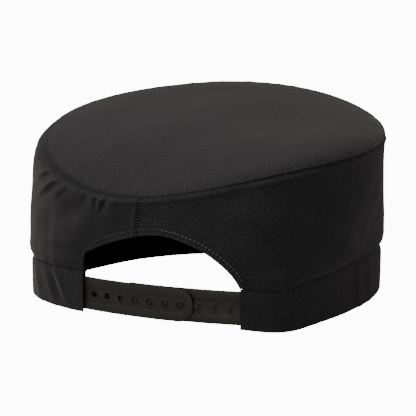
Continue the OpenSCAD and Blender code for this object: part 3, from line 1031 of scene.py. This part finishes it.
def make_stitches():
    a, z, _ = arch_edge(400)
    into = arch_offset(a, z)
    line = arch_point(a, z, into, BINDING_W - 0.7, 0.5 + 0.1 * (run_of(a) < 0))
    for name, keep, thread in (
        ("opening_topstitch_left", slice(70, 215), THREAD),
        # The right-hand row is sewn with pale thread, a painted highlight
        ("opening_topstitch_right", slice(215, 392), THREAD_PAINTED_HIGHLIGHT),
    ):
        rows = stitch_run(line[keep], 2.3, 0.62, flat_out(a)[keep])
        sew(name, *rows, THREAD_R, thread, "opening_stitches")
    for name, edge, way, node_name in (
        ("socket_strap_tack", MOUTH_LEFT, 1, "socket_tack_stitches"),
        ("stud_strap_tack", MOUTH_RIGHT, -1, "stud_tack_stitches"),
    ):
        at = angle_at(run_of(np.array(edge)) + 4.2 * way)
        zs = np.linspace(1.6, 21.5, 60)
        angles = np.full(60, at)
        rows = stitch_run(band(angles, zs, -0.1), 2.4, 0.6, flat_out(angles))
        sew(name, *rows, THREAD_R, THREAD, node_name)
    seam_low = arch_height(run_to_arch(0.0)) + BINDING_W + 0.3
    seam_high = float(seam_z(np.array(0.0)))
    zs = np.linspace(seam_low, seam_high - 1.2, 80)
    line = wall(angle_at(back_seam_run(zs)), zs, -0.75)
    starts, ends, outward = stitch_run(line, 1.5, 0.35, flat_out(np.zeros(80)))
    slant = np.array([0.55, 0, 0])
    rows = (starts - slant, ends + slant, outward)
    sew("back_seam_stitches", *rows, THREAD_R, THREAD, "back_seam_ridge")
    a = np.linspace(-math.pi, math.pi, 331)[:-1]
    top, low = seam_z(a) - 1.9, seam_z(a + 0.012) - 9.3
    rows = (wall(a, top, 2.45), wall(a + 0.012, low, 2.95), -flat_out(a))
    sew("crown_seam_overlock", *rows, INNER_THREAD_R, THREAD, "crown_overlock_stitches")
    zs = np.linspace(ARCH_TOP + 4.4, seam_high - 12, 4)
    pairs = [(side, z) for side in (-1, 1) for z in zs]
    starts = np.array([wall(angle_at(np.array(3.0 * s)), z, 1.7) for s, z in pairs])
    ends = np.array([wall(angle_at(np.array(7.0 * s)), z + 0.9, 2.1) for s, z in pairs])
    rows = (starts, ends, -flat_out(np.zeros(len(pairs))))
    sew("back_seam_overlock", *rows, INNER_THREAD_R, THREAD, "back_overlock_stitches")
    a = np.linspace(MOUTH_LEFT + 0.05, TURN + MOUTH_RIGHT - 0.05, 900)
    line = band(a, hem_z(a) + SWEATBAND_TOP - 2.2, SWEATBAND_IN + 1.05)
    rows = stitch_run(line, 3.0, 0.62, -flat_out(a))
    sew("sweatband_topstitch", *rows, INNER_THREAD_R, THREAD, "sweatband_stitches")


def make_label():
    """Blank woven label on the inside of the sweatband, at the front."""
    half, low, high = 14.0, 8.0, 21.0
    run = GIRTH / 2 + np.linspace(-half, half, 30)[:, None]
    z = np.linspace(low, high, 10)[None, :]
    up = (z - low) / (high - low)
    inset = SWEATBAND_IN + 1.35 + 0.25 * np.sin(run * 0.9) * (up * (1 - up)) * 2
    grid = band(angle_at(run) + 0 * z, z + 0 * run, inset)
    piece = cloth_grid("size_label_cloth", grid, uv_of(run, z), 0.3)
    finish_piece(piece, "cap", "label", LABEL, "care_label")
    inner = SWEATBAND_IN + 1.75
    x, low, high = half - 1.2, low + 1, high - 1
    corners = [(-x, low), (x, low), (x, high), (-x, high), (-x, low)]
    line = []
    for (x0, z0), (x1, z1) in zip(corners, corners[1:]):
        t = np.linspace(0, 1, 40)[:-1]
        line.append(band(angle_at(GIRTH / 2 + x0 + (x1 - x0) * t), z0 + (z1 - z0) * t, inner))
    line = np.concatenate(line)
    inward = np.tile([0.0, 1.0, 0.0], (len(line), 1))
    rows = stitch_run(line, 2.6, 0.6, inward)
    sew("size_label_stitches", *rows, INNER_THREAD_R, THREAD, "label_stitches")
    return piece


# ---- size strap ----


def unit(v):
    return v / np.linalg.norm(v)


LEFT_PT = plain_band(np.array(MOUTH_LEFT)) - out_dir(np.array(MOUTH_LEFT)) * POCKET_MID
RIGHT_PT = plain_band(np.array(MOUTH_RIGHT)) - out_dir(np.array(MOUTH_RIGHT)) * POCKET_MID
SPAN = np.linalg.norm(RIGHT_PT - LEFT_PT)
ALONG = unit(RIGHT_PT - LEFT_PT)
REACH = (STRAP_R**2 - STUD_STRAP_R**2 + SPAN**2) / (2 * SPAN)
STRAP_CENTRE = (
    LEFT_PT + ALONG * REACH + np.array([-ALONG[1], ALONG[0]]) * math.sqrt(STRAP_R**2 - REACH**2)
)
LEFT_PHI = math.atan2(*(LEFT_PT - STRAP_CENTRE)[::-1])
RIGHT_PHI = math.atan2(*(RIGHT_PT - STRAP_CENTRE)[::-1])
STRAP_RUN = (RIGHT_PHI - LEFT_PHI) * STRAP_R


def box_part(x0, x1, y0, y1, z0, z1, name):
    """A box between corners, in millimetres, as a primitive with its size applied."""
    bpy.ops.object.select_all(action="DESELECT")
    centre = ((x0 + x1) / 2 * MM, (y0 + y1) / 2 * MM, (z0 + z1) / 2 * MM)
    bpy.ops.mesh.primitive_cube_add(size=1, location=centre)
    made = bpy.context.object
    made.name = name
    made.scale = ((x1 - x0) * MM, (y1 - y0) * MM, (z1 - z0) * MM)
    bpy.ops.object.transform_apply(location=True, rotation=True, scale=True)
    return made


def round_corners(made, at_x, radius, segments):
    """Bevels the two edges that run through the strap's thickness at one end."""
    pick(made)
    bpy.ops.object.mode_set(mode="EDIT")
    bpy.ops.mesh.select_all(action="DESELECT")
    bpy.ops.mesh.select_mode(type="EDGE")
    shape = bmesh.from_edit_mesh(made.data)
    for edge in shape.edges:
        p, q = (v.co / MM for v in edge.verts)
        if abs(p.x - at_x) < 0.01 and abs(q.x - at_x) < 0.01 and abs(p.y - q.y) > 0.05:
            edge.select = True
    bmesh.update_edit_mesh(made.data)
    bpy.ops.mesh.bevel(offset=radius * MM, segments=segments, affect="EDGES")
    bpy.ops.object.mode_set(mode="OBJECT")


def disc_part(x, y0, y1, radius, vertices=28):
    bpy.ops.object.select_all(action="DESELECT")
    bpy.ops.mesh.primitive_cylinder_add(
        vertices=vertices,
        radius=radius * MM,
        depth=(y1 - y0) * MM,
        location=(x * MM, (y0 + y1) / 2 * MM, 0),
        rotation=(math.pi / 2, 0, 0),
    )
    made = bpy.context.object
    bpy.ops.object.transform_apply(location=True, rotation=True, scale=True)
    return made


def combine(made, other, how):
    modify(made, "BOOLEAN", operation=how, object=other, solver="EXACT")
    bpy.data.objects.remove(other)


def cut_across(made, first, last):
    """Cuts across the strap so that it can bend."""
    pick(made)
    bpy.ops.object.mode_set(mode="EDIT")
    for x in np.arange(first, last, BEND_STEP):
        bpy.ops.mesh.select_all(action="SELECT")
        bpy.ops.mesh.bisect(plane_co=(x * MM, 0, 0), plane_no=(1, 0, 0))
    bpy.ops.object.mode_set(mode="OBJECT")


def snap_places(first):
    return [FIRST_SOCKET + SNAP_PITCH * (first + k) for k in range(SNAPS)]


def socket_strap_flat():
    """Holed strap laid flat: a recessed panel, a raised ring round each socket, a rounded tip."""
    tip = FIRST_SOCKET + SNAP_PITCH * (SNAPS - 1) + 7.3
    half = STRAP_W / 2
    low, high = -half + PANEL_MARGINS[0], half - PANEL_MARGINS[1]
    made = box_part(-TAB_RUN, tip, -STRAP_T / 2, STRAP_T / 2, -half, half, "socket_strap_moulding")
    round_corners(made, tip, half - 0.4, 12)
    panel = box_part(-TAB_RUN - 1, tip - 3.6, STRAP_T / 2 - 0.35, 2, low, high, "panel")
    round_corners(panel, tip - 3.6, 4.0, 8)
    combine(made, panel, "DIFFERENCE")
    for x in snap_places(0):
        combine(made, disc_part(x, 0, STRAP_T / 2 - 0.1, 2.45), "UNION")
    for x in snap_places(0):
        combine(made, disc_part(x, -2, 2, SOCKET_R), "DIFFERENCE")
    modify(made, "BEVEL", width=0.16 * MM, segments=2, limit_method="ANGLE", angle_limit=0.6)
    cut_across(made, -TAB_RUN + 0.7, tip - 0.5)
    return made


def one_stud(x):
    """A snap stud: a neck with a wider head, drawn in at its top."""
    base = STRAP_T / 2 - 0.2
    neck_r = STUD_R - 0.3
    made = disc_part(x, base, base + 1.2, neck_r, 20)
    pick(made)
    bpy.ops.object.mode_set(mode="EDIT")
    bpy.ops.mesh.select_mode(type="FACE")
    bpy.ops.mesh.select_all(action="DESELECT")
    shape = bmesh.from_edit_mesh(made.data)
    for face in shape.faces:
        if face.normal.y > 0.9:
            face.select = True
    bmesh.update_edit_mesh(made.data)
    grow = STUD_R / neck_r
    for lift, size in ((0.15, grow), (0.2, 1.0), (0.15, 0.84), (0.0, 0.55), (-0.2, 0.9)):
        bpy.ops.mesh.extrude_region_move(TRANSFORM_OT_translate={"value": (0, lift * MM, 0)})
        bpy.ops.transform.resize(value=(size, 1, size))
    bpy.ops.object.mode_set(mode="OBJECT")
    return made


def stud_strap_flat():
    """Runs the same way as the holed strap, so its sewn end is at the far end."""
    start = FIRST_SOCKET + SNAP_PITCH * EMPTY_SOCKETS - 7.0
    half = STRAP_W / 2
    low, high = -half + PANEL_MARGINS[0], half - PANEL_MARGINS[1]
    end = STRAP_RUN + TAB_RUN
    made = box_part(start, end, -STRAP_T / 2, STRAP_T / 2, -half, half, "stud_strap_moulding")
    round_corners(made, start, 3.0, 6)
    panel = box_part(start + 2.4, end + 1, STRAP_T / 2 - 0.25, 2, low, high, "panel")
    combine(made, panel, "DIFFERENCE")
    for x in snap_places(EMPTY_SOCKETS):
        combine(made, disc_part(x, 0, STRAP_T / 2 - 0.05, 2.1), "UNION")
    modify(made, "BEVEL", width=0.14 * MM, segments=2, limit_method="ANGLE", angle_limit=0.6)
    studs = [one_stud(x) for x in snap_places(EMPTY_SOCKETS)]
    for stud in studs:
        combine(made, stud, "UNION")
    cut_across(made, start + 0.9, end - 0.5)
    return made


def bend_strap(made, radius, edge_run, way):
    """Bends a flat strap to its circle; past the band's end it follows the pocket."""
    pick(made)
    points = np.array([v.co for v in made.data.vertices]) / MM
    s, off, z = points[:, 0], points[:, 1], points[:, 2] + STRAP_MID_Z
    phi = LEFT_PHI + s / STRAP_R
    r = radius + off
    bent = STRAP_CENTRE + r[:, None] * np.stack([np.cos(phi), np.sin(phi)], 1)
    if way > 0:
        a = angle_at(run_of(np.array(MOUTH_LEFT)) - s)
        inside = s < edge_run
    else:
        a = angle_at(run_of(np.array(MOUTH_RIGHT)) - (s - edge_run))
        inside = s > edge_run
    pocket = plain_band(a) - out_dir(a) * (POCKET_MID - off)[:, None]
    xy = np.where(inside[:, None], pocket, bent)
    done = np.concatenate([xy, z[:, None]], 1) * MM
    made.data.vertices.foreach_set("co", done.astype(np.float32).ravel())
    made.data.update()
    bpy.ops.object.mode_set(mode="EDIT")
    bpy.ops.mesh.select_all(action="SELECT")
    bpy.ops.mesh.remove_doubles(threshold=0.00002)
    bpy.ops.mesh.normals_make_consistent(inside=False)
    bpy.ops.object.mode_set(mode="OBJECT")
    smooth(made, 35)


def make_straps():
    sockets = socket_strap_flat()
    bend_strap(sockets, STRAP_R, 0.0, 1)
    finish_piece(sockets, None, "moulded_strap", MOULDED, "socket_strap", "socket_strap_tab")
    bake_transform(sockets)
    studs = stud_strap_flat()
    bend_strap(studs, STUD_STRAP_R, STRAP_RUN, -1)
    finish_piece(studs, None, "moulded_strap", MOULDED, "stud_strap", "stud_strap_tab")
    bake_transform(studs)


# ---- build ----

crown_piece = make_crown()
wall_piece = make_wall()
make_seam_edge()
band_piece = make_band()
binding_piece = make_binding()
lining_piece = make_inner_strip(
    "sweatband_cloth", "sweatband", LINING, "lining", 0.8, SWEATBAND_IN, 1.0, SWEATBAND_TOP, 0.8
)
stiffener_piece = make_inner_strip(
    "band_stiffener_cloth", "band_interlining", LINING, "lining", 13.0, 1.6, 1.5, 22.0, 0.6
)
crown_turning = make_crown_allowance()
back_turning = make_back_allowance()
label_piece = make_label()
make_stitches()
make_straps()

# ---- floor, light and camera ----


def make_stage():
    """Pale grey board that glows for the camera alone, so it looks blank white and lights nothing.

    An oval of it under the crown is left without glow, so that the strap's empty sockets look
    dark from behind. That dark oval is painted shade drawn on the floor; it isn't a shadow that the
    cap casts."""
    glow_strength = 12.0
    bpy.ops.object.select_all(action="DESELECT")
    bpy.ops.mesh.primitive_plane_add(size=12, location=(0, 0, -0.0014))
    floor = bpy.context.object
    floor.name = "studio_floor"
    bpy.ops.object.transform_apply(location=True, rotation=True, scale=True)
    made, tree = new_material("matt_white_board")
    where = node(tree, "ShaderNodeTexCoord").outputs["Object"]
    cloud = node(tree, "ShaderNodeTexNoise", {"Vector": where, "Scale": 2.0}).outputs["Fac"]
    colour = node(
        tree,
        "ShaderNodeMix",
        {0: cloud, 6: hex_colour("#B4B4B4"), 7: hex_colour("#BABABA")},
        data_type="RGBA",
    ).outputs[2]
    bump_node = node(tree, "ShaderNodeBump", {"Height": cloud, "Strength": 0.02})
    seen = node(tree, "ShaderNodeLightPath").outputs["Is Camera Ray"]
    # Painted shade: the oval placed here gets no glow, so the floor under the crown stays dark.
    shade_x, shade_y, half_x, half_y = 5 * MM, 40 * MM, 78 * MM, 36 * MM
    away = node(
        tree,
        "ShaderNodeVectorMath",
        {0: where, 1: (1 / half_x, 1 / half_y, 0), 2: (-shade_x / half_x, -shade_y / half_y, 0)},
        operation="MULTIPLY_ADD",
    ).outputs[0]
    away = node(tree, "ShaderNodeVectorMath", {0: away}, operation="LENGTH").outputs["Value"]
    glow_outside_painted_shade = node(
        tree,
        "ShaderNodeMapRange",
        {"Value": away, "From Min": 0.8, "From Max": 1.05, "To Max": glow_strength},
        interpolation_type="SMOOTHSTEP",
    ).outputs[0]
    glow = node(tree, "ShaderNodeMath", {0: seen, 1: glow_outside_painted_shade}, operation="MULTIPLY").outputs[0]
    close_material(
        tree,
        colour,
        0.9,
        bump_node.outputs[0],
        **{"Emission Color": hex_colour("#FFFFFF"), "Emission Strength": glow},
    )
    floor.data.materials.append(made)


def soft_box(name, place, size, power, aim=(0, 0, 0.05)):
    light = bpy.data.lights.new(name, "AREA")
    light.shape = "DISK"
    light.size = size
    light.energy = power
    lamp = bpy.data.objects.new(name, light)
    bpy.context.scene.collection.objects.link(lamp)
    lamp.location = place
    lamp.rotation_euler = (Vector(aim) - Vector(place)).to_track_quat("-Z", "Y").to_euler()


make_stage()
soft_box("key_overhead", (0.65, 0.4, 1.25), 1.0, 20)
soft_box("fill_behind", (-0.1, 1.7, 0.55), 1.0, 6.5)
soft_box("rim_left", (1.3, -0.6, 0.3), 0.7, 1.2)
soft_box("rim_right", (-1.3, -0.8, 0.2), 0.7, 1.3)

world = bpy.data.worlds.new("white_studio")
bpy.context.scene.world = world
world.use_nodes = True
background = world.node_tree.nodes["Background"]
background.inputs["Color"].default_value = (1, 1, 1, 1)
background.inputs["Strength"].default_value = 0.35

camera = bpy.data.cameras.new("back_right_camera")
camera.lens = 151.8
camera.sensor_width = 36
camera.clip_start, camera.clip_end = 0.05, 20
stand = bpy.data.objects.new("back_right_camera", camera)
bpy.context.scene.collection.objects.link(stand)
stand.location = (-0.4595, 0.8851, 0.2176)
aim = Vector((0.0075, 0.0016, 0.0462))
stand.rotation_euler = (aim - stand.location).to_track_quat("-Z", "Y").to_euler()
bpy.context.scene.camera = stand
